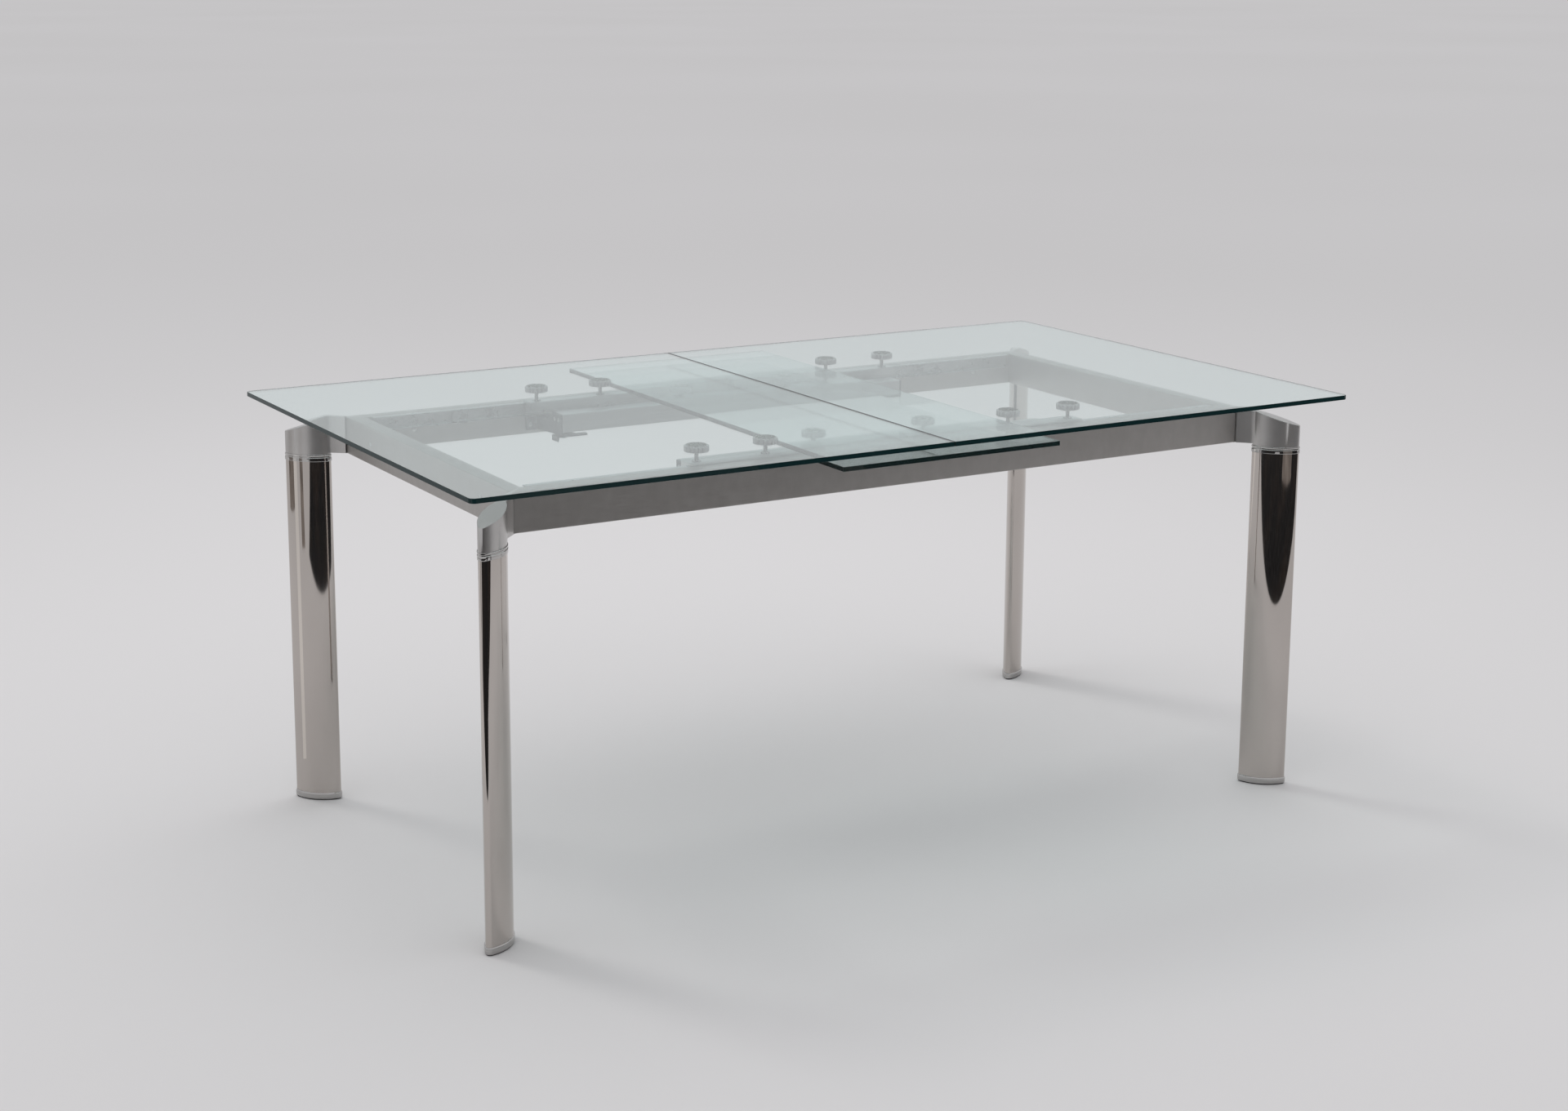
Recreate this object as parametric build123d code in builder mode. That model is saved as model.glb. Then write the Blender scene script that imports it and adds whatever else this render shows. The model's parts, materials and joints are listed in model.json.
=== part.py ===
"""Extendable glass dining table with a self-storing middle leaf.

Frame: +X along the length, +Y towards the rear long side, +Z up, origin on the floor under
the middle of the table. Two glass halves ride on telescopic slides inside a rail frame that
stands on four lens-section legs. The leaf is stored under the halves on four posts, and a
small knee linkage under each post dips it and then lifts it flush as the halves open.
"""
from build123d import *
import math
import os

os.makedirs("parts", exist_ok=True)

# ---- overall sizes (mm) --------------------------------------------------------------
TABLE_HEIGHT = 750.0
TOP_LENGTH = 1720.0
TOP_DEPTH = 1000.0
GLASS_THICKNESS = 8.0
GLASS_CORNER = 10.0
GLASS_ARRIS = 0.8
SEAM_GAP = 1.0
LEAF_LENGTH = 430.0
LEAF_CORNER = 2.0
LEAF_DROP = 20.0          # leaf surface below the halves when it is stored
FIT = 0.05                # radial clearance of pins and studs in their holes
HOLE_GAP = 0.1            # radial clearance of screws in their holes

GLASS_BOTTOM = TABLE_HEIGHT - GLASS_THICKNESS
LEAF_BOTTOM = GLASS_BOTTOM - LEAF_DROP

# ---- rail frame ----------------------------------------------------------------------
FRAME_X = 728.0           # outer faces of the end rails
FRAME_Y = 352.0           # outer faces of the long rails
RAIL_THICK = 29.0
RAIL_WALL = 2.0
RAIL_TOP = 710.0
RAIL_BOTTOM = 650.0
RAIL_EDGE = 1.5
RAIL_INNER_X = FRAME_X - RAIL_THICK
RAIL_INNER_Y = FRAME_Y - RAIL_THICK
RAIL_MID_Z = (RAIL_TOP + RAIL_BOTTOM) / 2

# ---- legs and corner castings --------------------------------------------------------
LEG_X = 782.0
LEG_Y = 400.0
LEG_LONG = 42.5           # half length of the lens section
LEG_SHORT = 18.5          # half width of the lens section
LEG_NOSE = 7.0
LEG_WALL = 2.0
COLLAR_TOP = 647.0
COLLAR_BOTTOM = 634.0
COLLAR_PROUD = 1.2
COLLAR_EDGE = 0.8
FOOT_TOP = 14.0
FOOT_PROUD = 1.5
FOOT_PAD = 2.0
FOOT_PAD_INSET = 0.5
FOOT_PLUG = 20.0          # how far a foot cap's plug reaches into the leg
HEAD_HIGH_U = -35.0       # where the sloping top of the head meets the flat arm
HEAD_LOW_Z = 686.0        # height of the head's outer tip
HEAD_ARRIS = 0.8
ARM_HALF = 6.5            # half thickness of the arm beside the head
ARM_NECK = 3.5            # half thickness of the arm where it leaves the rails
ARM_ROOT_U = -36.0
SPIGOT_DEPTH = 58.0
SPIGOT_GAP = 0.3
TONGUE_LENGTH = 112.0
TONGUE_HEIGHT = 40.0
TONGUE_GAP = 0.2          # between a tongue and the rail's inner walls
DIAGONAL = math.degrees(math.atan2(LEG_Y - FRAME_Y, LEG_X - FRAME_X))
ARM_REACH = math.hypot(LEG_X - FRAME_X, LEG_Y - FRAME_Y)
JOINT_X = ARM_NECK / math.sin(math.radians(DIAGONAL))   # from the corner to a long rail's end
JOINT_Y = ARM_NECK / math.cos(math.radians(DIAGONAL))   # from the corner to an end rail's end
TONGUE_THICK = RAIL_THICK - 2 * RAIL_WALL - 2 * TONGUE_GAP

# ---- screws of the frame -------------------------------------------------------------
RAIL_SCREW_SETBACK = 118.0
RAIL_SCREW_RADIUS = 2.5
RAIL_SCREW_LENGTH = 18.0
RAIL_SCREW_HEAD = 4.5
RAIL_SCREW_PROUD = 2.0
SMALL_SCREW_RADIUS = 2.0
SMALL_HEAD = 3.8
SMALL_PROUD = 1.2
TIE_ROD_RADIUS = 3.0
TIE_ROD_DEPTH = 34.0      # thread of a tie rod in the casting's spigot
TIE_ROD_SPARE = 2.0       # hole left free above the rod
TIE_ROD_HEAD = 6.5
TIE_ROD_HEAD_HEIGHT = 5.0
LONG_RAIL_SCREWS = [(s * (FRAME_X - RAIL_SCREW_SETBACK), RAIL_MID_Z) for s in (-1, 1)]
END_RAIL_SCREWS = [(s * (FRAME_Y - RAIL_SCREW_SETBACK), RAIL_MID_Z) for s in (-1, 1)]

# ---- telescopic slides ---------------------------------------------------------------
CHANNEL_DEPTH = 12.0
CHANNEL_LOW = 685.0
CHANNEL_HIGH = 710.0
SHEET = 1.5
CHANNEL_START = 40.0
CHANNEL_END = 690.0
CHANNEL_WEB_Y = RAIL_INNER_Y
CHANNEL_LIP_Y = RAIL_INNER_Y - CHANNEL_DEPTH
MID_START = 60.0
MID_END = 537.0
MID_WEB_Y = 319.5
MID_LIP_Y = 311.5
MID_LOW = CHANNEL_LOW + 2.5
MID_HIGH = CHANNEL_HIGH - 2.5
SLOTS_FROM_END = (22.0, 60.0, 82.0)
SLOT_LENGTH = 16.0
SLOT_WIDTH = 5.0
INNER_START = 60.0
INNER_LIP_Y = 317.0
INNER_LOW = MID_LOW + 3.0
INNER_HIGH = MID_HIGH - 3.0
SLIDE_SCREW_XS = (100.0, 643.0)
SLIDE_SCREW_Z = (CHANNEL_LOW + CHANNEL_HIGH) / 2
SLIDE_SCREW_LENGTH = 3.4
SLIDE_SCREWS = [(s * x, SLIDE_SCREW_Z) for s in (-1, 1) for x in SLIDE_SCREW_XS]

# ---- slide bars that carry the glass halves ------------------------------------------
BAR_START = 30.0
BAR_END = 395.0
BAR_TOP = 714.0
BAR_BOTTOM = 700.0
BAR_IN_Y = 287.0
BAR_OUT_Y = 322.0
BAR_BOX_Y = 310.5         # outer face of the bar's deep part, beside the slide
BAR_PLATE = 3.3           # thickness of the plate that reaches over the slide
GROOVE_YS = (BAR_IN_Y + 4, BAR_OUT_Y - 4, BAR_OUT_Y - 8)
GROOVE_DEPTH = 0.8
GROOVE_WIDTH = 1.6

# ---- glass supports ------------------------------------------------------------------
PAD_XS = (246.0, 376.0)
PAD_Y = 305.0
PAD_RADIUS = 21.0
PAD_HEIGHT = 10.5
PAD_ROOF = 2.5            # solid metal above a pad's blind bore
CUSHION = 1.0
CUSHION_RADIUS = 17.0
STUD_RADIUS = 3.5
STUD_SINK = 9.0
STUD_ROOM = 0.5           # between a stud's end and the roof of its bore
FLANGE_RADIUS = 8.0
FLANGE_HEIGHT = 1.5
FLUTES = 18
FLUTE_RADIUS = 2.2
FLUTE_OUT = 0.9           # flute centres outside the rim
PAD_LOW = GLASS_BOTTOM - CUSHION - PAD_HEIGHT
LEAF_PAD_LOW = LEAF_BOTTOM - CUSHION - PAD_HEIGHT

# ---- leaf beams ----------------------------------------------------------------------
BEAM_HALF = 364.0
BEAM_IN_Y = 221.0
BEAM_OUT_Y = 255.0
BEAM_TOP = 701.0
BEAM_BOTTOM = 667.0
BEAM_WALL = 2.0
BEAM_EDGE = 1.5
END_PLATE = 3.0
BEAM_SCREW_Z = 689.0
BEAM_SCREW_YS = (230.0, 246.0)
BUSH_RADIUS = 6.0
BUSH_FLANGE = 9.0
BUSH_FLANGE_TOP = BEAM_TOP + 2.0
BUSH_LOW = BEAM_TOP - BEAM_WALL - 0.6

# ---- knees and posts of the leaf lift ------------------------------------------------
POST_X = 112.0
POST_Y = 238.0
POST_RADIUS = 4.0
ARM_LENGTH = 13.5         # pivot to pivot, both arms of a knee
ARM_WIDTH = 9.0
ARM_PLATE = 2.0
LEAF_DIP = 7.0            # how far the leaf first goes down
KNEE_Z = 693.0            # pivot on the beam
KNEE_START = math.degrees(math.acos((2 * ARM_LENGTH - LEAF_DIP) / (2 * ARM_LENGTH)))
PIVOT_RADIUS = 2.5
PIN_RADIUS = 2.0
UPPER_OUT_Y = 252.5       # layers of the knee across the beam, counted from its outer wall
UPPER_IN_Y = 250.5
PIVOT_TIP_Y = 250.2
LOWER_OUT_Y = 249.6
PIN_TIP_Y = 247.0
FOOT_OUT_Y = 246.5
FOOT_IN_Y = 232.0
FOOT_Z = KNEE_Z - LEAF_DROP
EYE_HALF = 6.0
EYE_LOW = 4.5
EYE_HIGH = 5.0
POST_TOP = LEAF_BOTTOM - CUSHION - PAD_ROOF - STUD_ROOM
POSTS = [(sx * POST_X, sy * POST_Y) for sx in (-1, 1) for sy in (-1, 1)]

# ---- beam brackets -------------------------------------------------------------------
BRACKET = 4.0
BRACKET_LOW = 657.0
BRACKET_STEP_Z = 683.0
BRACKET_STEP_Y = 282.0
BRACKET_SCREW_LENGTH = 8.0
BRACKET_SCREW_XS = (346.0, 382.0)
BRACKET_SCREW_Z = 668.0
BRACKET_SCREWS = [(s * x, BRACKET_SCREW_Z) for s in (-1, 1) for x in BRACKET_SCREW_XS]
BASE_START = 338.0
BASE_END = 390.0
SHELF_LOW = 661.0
SHELF_HIGH = 664.0
SHELF_START = 338.0

# ---- latch levers --------------------------------------------------------------------
LATCH_X = -354.0
LATCH_TOP = 660.0
LATCH_THICK = 3.0
LATCH_LOW = LATCH_TOP - LATCH_THICK
LATCH_HALF = 12.0         # half width of the plate
LATCH_TAIL = 18.0         # from the pivot to the tail with the finger lip
LATCH_SHOULDER = 14.0     # from the pivot to where the plate narrows
LATCH_NOSE = 44.0         # from the pivot to the nose
LATCH_NOSE_EDGE = 2.0     # outer edge of the nose, past the beam's middle line
LATCH_ROUND = 4.0
LATCH_LIP = 7.0
LATCH_PIN = 3.0
PIN_HEAD = 5.5
PIN_HEAD_HEIGHT = 2.0
PIN_CLIP = 5.0
PIN_CLIP_HEIGHT = 1.6
PIN_PLAY = 0.4            # between the lever and the pin's head

CORNERS = {
    "front_left": (-1, -1),
    "front_right": (1, -1),
    "rear_left": (-1, 1),
    "rear_right": (1, 1),
}
SIDES = {"front": -1, "rear": 1}
ENDS = {"left": -1, "right": 1}


def save(piece, name):
    """Label a finished piece and write it as its own STEP file."""
    piece.part.label = name
    export_step(piece.part, f"parts/{name}.step")


def leg_plane(sx, sy, z):
    """Plane at a leg's centre line, its X pointing outward along the table's diagonal."""
    angle = math.radians(DIAGONAL)
    outward = Vector(sx * math.cos(angle), sy * math.sin(angle), 0)
    return Plane(origin=(sx * LEG_X, sy * LEG_Y, z), x_dir=outward, z_dir=(0, 0, 1))


def lens(grow=0.0):
    """Lens outline: two wide arcs that meet in rounded noses, grown or shrunk evenly."""
    half_long = LEG_LONG + grow
    half_short = LEG_SHORT + grow
    nose = LEG_NOSE + grow
    reach = half_long - nose
    side = (reach**2 + half_short**2 - nose**2) / (2 * (half_short - nose))
    slope = math.atan2(side - half_short, reach)
    tip_x = reach + nose * math.cos(slope)
    tip_y = nose * math.sin(slope)
    with BuildSketch() as outline:
        with BuildLine():
            ThreePointArc((-tip_x, tip_y), (0, half_short), (tip_x, tip_y))
            ThreePointArc((tip_x, tip_y), (half_long, 0), (tip_x, -tip_y))
            ThreePointArc((tip_x, -tip_y), (0, -half_short), (-tip_x, -tip_y))
            ThreePointArc((-tip_x, -tip_y), (-half_long, 0), (-tip_x, tip_y))
        make_face()
    return outline.sketch


def cross_plane(x):
    """Plane across the table at x: its local X is the row's Y, its local Y is Z."""
    return Plane(origin=(x, 0, 0), x_dir=(0, 1, 0), z_dir=(1, 0, 0))


def side_plane(y):
    """Plane along the table at y: its local X is the row's X, its local Y is Z."""
    return Plane(origin=(0, y, 0), x_dir=(1, 0, 0), z_dir=(0, -1, 0))


def box_sketch(x0, x1, y0, y1, mode=Mode.ADD):
    """Rectangle between two corners, inside the sketch that is being built."""
    with Locations(((x0 + x1) / 2, (y0 + y1) / 2)):
        Rectangle(abs(x1 - x0), abs(y1 - y0), mode=mode)


# ---- glass ---------------------------------------------------------------------------
def glass_half(sign):
    """One half of the top, with rounded outer corners and a polished arris."""
    inner = SEAM_GAP / 2
    with BuildPart() as half:
        with BuildSketch(Plane.XY.offset(GLASS_BOTTOM)):
            box_sketch(sign * inner, sign * TOP_LENGTH / 2, -TOP_DEPTH / 2, TOP_DEPTH / 2)
        extrude(amount=GLASS_THICKNESS)
        outer = half.edges().filter_by(Axis.Z).filter_by(lambda e: abs(e.center().X) > inner + 1)
        fillet(outer, GLASS_CORNER)
        level = half.faces().filter_by(Axis.Z)
        chamfer(level.edges(), GLASS_ARRIS)
    return half


for end, sign in ENDS.items():
    glass_top = glass_half(sign)
    save(glass_top, f"glass_top_{end}")

with BuildPart() as glass_leaf:
    with BuildSketch(Plane.XY.offset(LEAF_BOTTOM)):
        Rectangle(LEAF_LENGTH, TOP_DEPTH)
    extrude(amount=GLASS_THICKNESS)
    fillet(glass_leaf.edges().filter_by(Axis.Z), LEAF_CORNER)
    chamfer(glass_leaf.faces().filter_by(Axis.Z).edges(), GLASS_ARRIS)
save(glass_leaf, "glass_leaf")


# ---- rails ---------------------------------------------------------------------------
def drill_x(points, radius, x0, x1):
    """Cut holes along X at (y, z) points."""
    with BuildSketch(cross_plane(x0)) as holes:
        with Locations(*points):
            Circle(radius)
    extrude(holes.sketch, amount=x1 - x0, mode=Mode.SUBTRACT)


def drill_y(points, radius, y0, y1):
    """Cut holes along Y at (x, z) points."""
    with BuildSketch(side_plane(y0)) as holes:
        with Locations(*points):
            Circle(radius)
    extrude(holes.sketch, amount=y0 - y1, mode=Mode.SUBTRACT)


for side, sign in SIDES.items():
    with BuildPart() as long_rail:
        with BuildSketch(Plane.XY.offset(RAIL_BOTTOM)):
            cut_x = FRAME_X - JOINT_X
            with BuildLine():
                Polyline(
                    (-cut_x, sign * FRAME_Y),
                    (cut_x, sign * FRAME_Y),
                    (RAIL_INNER_X, sign * RAIL_INNER_Y),
                    (-RAIL_INNER_X, sign * RAIL_INNER_Y),
                    close=True,
                )
            make_face()
        extrude(amount=RAIL_TOP - RAIL_BOTTOM)
        fillet(long_rail.edges().filter_by(Axis.X), RAIL_EDGE)
        with BuildSketch(cross_plane(-FRAME_X)):
            box_sketch(
                sign * (RAIL_INNER_Y + RAIL_WALL), sign * (FRAME_Y - RAIL_WALL),
                RAIL_BOTTOM + RAIL_WALL, RAIL_TOP - RAIL_WALL,
            )
        extrude(amount=2 * FRAME_X, mode=Mode.SUBTRACT)
        inner_y = sign * (RAIL_INNER_Y - 1)
        mid_y = sign * (RAIL_INNER_Y + RAIL_THICK / 2)
        drill_y(LONG_RAIL_SCREWS, RAIL_SCREW_RADIUS + HOLE_GAP, inner_y, mid_y)
        drill_y(SLIDE_SCREWS + BRACKET_SCREWS, SMALL_SCREW_RADIUS + HOLE_GAP, inner_y, mid_y)
    save(long_rail, f"rail_{side}")

for end, sign in ENDS.items():
    with BuildPart() as end_rail:
        with BuildSketch(Plane.XY.offset(RAIL_BOTTOM)):
            cut_y = FRAME_Y - JOINT_Y
            with BuildLine():
                Polyline(
                    (sign * FRAME_X, -cut_y),
                    (sign * FRAME_X, cut_y),
                    (sign * RAIL_INNER_X, RAIL_INNER_Y),
                    (sign * RAIL_INNER_X, -RAIL_INNER_Y),
                    close=True,
                )
            make_face()
        extrude(amount=RAIL_TOP - RAIL_BOTTOM)
        fillet(end_rail.edges().filter_by(Axis.Y), RAIL_EDGE)
        with BuildSketch(side_plane(FRAME_Y)):
            box_sketch(
                sign * (RAIL_INNER_X + RAIL_WALL), sign * (FRAME_X - RAIL_WALL),
                RAIL_BOTTOM + RAIL_WALL, RAIL_TOP - RAIL_WALL,
            )
        extrude(amount=2 * FRAME_Y, mode=Mode.SUBTRACT)
        outer_x = sign * (FRAME_X + 1)
        mid_x = sign * (RAIL_INNER_X + RAIL_THICK / 2)
        drill_x(END_RAIL_SCREWS, RAIL_SCREW_RADIUS + HOLE_GAP, outer_x, mid_x)
    save(end_rail, f"rail_{end}")


# ---- corner castings -----------------------------------------------------------------
def cut_head_slope(sx, sy):
    """Slope the top of a casting's head down to its outer tip."""
    base = leg_plane(sx, sy, 0)
    across = Plane(origin=base.origin, x_dir=base.x_dir, z_dir=base.x_dir.cross(Vector(0, 0, 1)))
    with BuildSketch(across) as wedge:
        with BuildLine():
            Polyline(
                (HEAD_HIGH_U, RAIL_TOP),
                (LEG_LONG, HEAD_LOW_Z),
                (LEG_LONG + 10, HEAD_LOW_Z),
                (LEG_LONG + 10, RAIL_TOP + 10),
                (HEAD_HIGH_U, RAIL_TOP + 10),
                close=True,
            )
        make_face()
    extrude(wedge.sketch, amount=LEG_LONG, both=True, mode=Mode.SUBTRACT)


def corner_casting(sx, sy):
    """Head, waisted arm and rail tongues of one corner, cast in one piece."""
    head = leg_plane(sx, sy, COLLAR_TOP)
    arm = leg_plane(sx, sy, RAIL_BOTTOM)
    with BuildPart() as casting:
        with BuildSketch(head):
            add(lens())
        extrude(amount=RAIL_TOP - COLLAR_TOP)
        cut_head_slope(sx, sy)
        rim = casting.edges().filter_by(lambda e: e.center().Z > HEAD_LOW_Z and e.length > 20)
        chamfer(rim.filter_by(lambda e: abs(e.tangent_at(0.5).Z) < 0.9), HEAD_ARRIS)
        with BuildSketch(arm):
            flare = (-ARM_REACH + ARM_ROOT_U) / 2
            waist = ARM_NECK + (ARM_HALF - ARM_NECK) / 4
            with BuildLine():
                Line((-ARM_REACH, ARM_NECK), (-ARM_REACH, -ARM_NECK))
                ThreePointArc((-ARM_REACH, -ARM_NECK), (flare, -waist), (ARM_ROOT_U, -ARM_HALF))
                Line((ARM_ROOT_U, -ARM_HALF), (ARM_ROOT_U, ARM_HALF))
                ThreePointArc((ARM_ROOT_U, ARM_HALF), (flare, waist), (-ARM_REACH, ARM_NECK))
            make_face()
        extrude(amount=RAIL_TOP - RAIL_BOTTOM)
        cut_head_slope(sx, sy)
        with BuildSketch(Plane.XY.offset(RAIL_BOTTOM)):
            with BuildLine():
                Polyline(
                    (sx * FRAME_X, sy * FRAME_Y),
                    (sx * (FRAME_X - JOINT_X), sy * FRAME_Y),
                    (sx * RAIL_INNER_X, sy * RAIL_INNER_Y),
                    (sx * FRAME_X, sy * (FRAME_Y - JOINT_Y)),
                    close=True,
                )
            make_face()
        extrude(amount=RAIL_TOP - RAIL_BOTTOM)
        # spigot into the collar and the leg
        with BuildSketch(head):
            add(lens(-LEG_WALL - SPIGOT_GAP))
        extrude(amount=-SPIGOT_DEPTH)
        # tongues into the two rails
        low = RAIL_MID_Z - TONGUE_HEIGHT / 2
        tongue_x = sx * (FRAME_X - RAIL_THICK / 2)
        tongue_y = sy * (FRAME_Y - RAIL_THICK / 2)
        reach_x = sx * (RAIL_INNER_X - TONGUE_LENGTH)
        reach_y = sy * (RAIL_INNER_Y - TONGUE_LENGTH)
        with BuildSketch(Plane.XY.offset(low)):
            box_sketch(
                reach_x, tongue_x,
                tongue_y - TONGUE_THICK / 2, tongue_y + TONGUE_THICK / 2,
            )
            box_sketch(
                tongue_x - TONGUE_THICK / 2, tongue_x + TONGUE_THICK / 2,
                reach_y, tongue_y,
            )
        extrude(amount=TONGUE_HEIGHT)
        screw_x = (sx * (FRAME_X - RAIL_SCREW_SETBACK), RAIL_MID_Z)
        screw_y = (sy * (FRAME_Y - RAIL_SCREW_SETBACK), RAIL_MID_Z)
        drill_y([screw_x], RAIL_SCREW_RADIUS + HOLE_GAP, sy * (FRAME_Y - 4), sy * RAIL_INNER_Y)
        drill_x([screw_y], RAIL_SCREW_RADIUS + HOLE_GAP, sx * FRAME_X, sx * (RAIL_INNER_X + 4))
        with BuildSketch(leg_plane(sx, sy, COLLAR_TOP - SPIGOT_DEPTH)):
            Circle(TIE_ROD_RADIUS + HOLE_GAP)
        extrude(amount=TIE_ROD_DEPTH + TIE_ROD_SPARE, mode=Mode.SUBTRACT)
    return casting


for corner, (sx, sy) in CORNERS.items():
    casting = corner_casting(sx, sy)
    save(casting, f"casting_{corner}")

# ---- legs, collars, feet -------------------------------------------------------------
for corner, (sx, sy) in CORNERS.items():
    with BuildPart() as leg:
        with BuildSketch(leg_plane(sx, sy, FOOT_TOP)):
            add(lens())
            add(lens(-LEG_WALL), mode=Mode.SUBTRACT)
        extrude(amount=COLLAR_BOTTOM - FOOT_TOP)
    save(leg, f"leg_{corner}")

with BuildPart() as leg_collars:
    for sx, sy in CORNERS.values():
        with BuildSketch(leg_plane(sx, sy, COLLAR_BOTTOM)):
            add(lens(COLLAR_PROUD))
            add(lens(-LEG_WALL), mode=Mode.SUBTRACT)
        extrude(amount=COLLAR_TOP - COLLAR_BOTTOM)
    rims = leg_collars.edges().filter_by(Plane.XY).filter_by(lambda e: e.length > 60)
    outer_rims = rims.filter_by(lambda e: e.radius > 66 if e.geom_type == GeomType.CIRCLE else False)
    fillet(outer_rims, COLLAR_EDGE)
save(leg_collars, "leg_collars")

with BuildPart() as foot_caps:
    for sx, sy in CORNERS.values():
        with BuildSketch(leg_plane(sx, sy, FOOT_PAD)):
            add(lens(FOOT_PROUD))
        extrude(amount=FOOT_TOP - FOOT_PAD)
        with BuildSketch(leg_plane(sx, sy, FOOT_TOP)):
            add(lens(-LEG_WALL - SPIGOT_GAP))
        extrude(amount=FOOT_PLUG)
        with BuildSketch(leg_plane(sx, sy, FOOT_PAD)):
            Circle(TIE_ROD_HEAD + HOLE_GAP)
        extrude(amount=TIE_ROD_HEAD_HEIGHT, mode=Mode.SUBTRACT)
        with BuildSketch(leg_plane(sx, sy, FOOT_PAD)):
            Circle(TIE_ROD_RADIUS + HOLE_GAP)
        extrude(amount=FOOT_TOP + FOOT_PLUG - FOOT_PAD, mode=Mode.SUBTRACT)
save(foot_caps, "foot_caps")

with BuildPart() as foot_pads:
    for sx, sy in CORNERS.values():
        with BuildSketch(leg_plane(sx, sy, 0)):
            add(lens(-FOOT_PAD_INSET))
        extrude(amount=FOOT_PAD)
save(foot_pads, "foot_pads")

with BuildPart() as leg_tie_rods:
    for sx, sy in CORNERS.values():
        with BuildSketch(leg_plane(sx, sy, FOOT_PAD + HOLE_GAP)):
            Circle(TIE_ROD_HEAD)
        extrude(amount=TIE_ROD_HEAD_HEIGHT - HOLE_GAP)
        with BuildSketch(leg_plane(sx, sy, FOOT_PAD + TIE_ROD_HEAD_HEIGHT)):
            Circle(TIE_ROD_RADIUS)
        rod_top = COLLAR_TOP - SPIGOT_DEPTH + TIE_ROD_DEPTH
        extrude(amount=rod_top - FOOT_PAD - TIE_ROD_HEAD_HEIGHT)
save(leg_tie_rods, "leg_tie_rods")

# ---- screws of the frame -------------------------------------------------------------
def screw(plane, shank, length, head, proud):
    """Pan-head screw: the plane lies under its head and points along the shank."""
    with BuildSketch(plane) as shank_disc:
        Circle(shank)
    extrude(shank_disc.sketch, amount=length)
    with BuildSketch(plane) as head_disc:
        Circle(head)
    extrude(head_disc.sketch, amount=-proud)


def inward_x(x, y, z, sign):
    """Plane at a point, its normal along +X or -X."""
    return Plane(origin=(x, y, z), x_dir=(0, 1, 0), z_dir=(sign, 0, 0))


def inward_y(x, y, z, sign):
    """Plane at a point, its normal along +Y or -Y."""
    return Plane(origin=(x, y, z), x_dir=(1, 0, 0), z_dir=(0, sign, 0))


with BuildPart() as rail_screws:
    for sx, sy in CORNERS.values():
        long_x = sx * (FRAME_X - RAIL_SCREW_SETBACK)
        end_y = sy * (FRAME_Y - RAIL_SCREW_SETBACK)
        long_seat = inward_y(long_x, sy * RAIL_INNER_Y, RAIL_MID_Z, sy)
        end_seat = inward_x(sx * FRAME_X, end_y, RAIL_MID_Z, -sx)
        screw(long_seat, RAIL_SCREW_RADIUS, RAIL_SCREW_LENGTH, RAIL_SCREW_HEAD, RAIL_SCREW_PROUD)
        screw(end_seat, RAIL_SCREW_RADIUS, RAIL_SCREW_LENGTH, RAIL_SCREW_HEAD, RAIL_SCREW_PROUD)
save(rail_screws, "rail_screws")


# ---- telescopic slides ---------------------------------------------------------------
def c_section(sy, web_y, lip_y, low, high):
    """C-shaped sheet section across the table, its web at web_y and its lips ending at lip_y."""
    step = SHEET if abs(lip_y) < abs(web_y) else -SHEET
    box_sketch(sy * web_y, sy * (web_y - step), low, high)
    box_sketch(sy * web_y, sy * lip_y, low, low + SHEET)
    box_sketch(sy * web_y, sy * lip_y, high - SHEET, high)


for end, sx in ENDS.items():
    for side, sy in SIDES.items():
        with BuildPart() as channel:
            with BuildSketch(cross_plane(sx * CHANNEL_START)):
                c_section(sy, CHANNEL_WEB_Y, CHANNEL_LIP_Y, CHANNEL_LOW, CHANNEL_HIGH)
            extrude(amount=sx * (CHANNEL_END - CHANNEL_START))
            holes = [point for point in SLIDE_SCREWS if point[0] * sx > 0]
            web_in = sy * (CHANNEL_WEB_Y - 2 * SHEET)
            drill_y(holes, SMALL_SCREW_RADIUS + HOLE_GAP, sy * (CHANNEL_WEB_Y + 1), web_in)
        save(channel, f"slide_channel_{side}_{end}")

with BuildPart() as slide_screws:
    for sy in SIDES.values():
        for x, z in SLIDE_SCREWS:
            seat = inward_y(x, sy * (CHANNEL_WEB_Y - SHEET), z, sy)
            screw(seat, SMALL_SCREW_RADIUS, SLIDE_SCREW_LENGTH, SMALL_HEAD, SMALL_PROUD)
save(slide_screws, "slide_screws")

for end, sx in ENDS.items():
    with BuildPart() as slide_mids:
        for sy in SIDES.values():
            with BuildSketch(cross_plane(sx * MID_START)) as mid_section:
                c_section(sy, MID_WEB_Y, MID_LIP_Y, MID_LOW, MID_HIGH)
            extrude(mid_section.sketch, amount=sx * (MID_END - MID_START))
            with BuildSketch(side_plane(sy * (MID_WEB_Y + 1))) as slots:
                for setback in SLOTS_FROM_END:
                    with Locations((sx * (MID_END - setback), SLIDE_SCREW_Z)):
                        SlotOverall(SLOT_LENGTH, SLOT_WIDTH)
            extrude(slots.sketch, amount=sy * 4, mode=Mode.SUBTRACT)
    save(slide_mids, f"slide_mids_{end}")
    with BuildPart() as slide_inners:
        for sy in SIDES.values():
            with BuildSketch(cross_plane(sx * INNER_START)) as inner_section:
                c_section(sy, BAR_BOX_Y, INNER_LIP_Y, INNER_LOW, INNER_HIGH)
            extrude(inner_section.sketch, amount=sx * (BAR_END - INNER_START))
    save(slide_inners, f"slide_inners_{end}")

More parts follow.
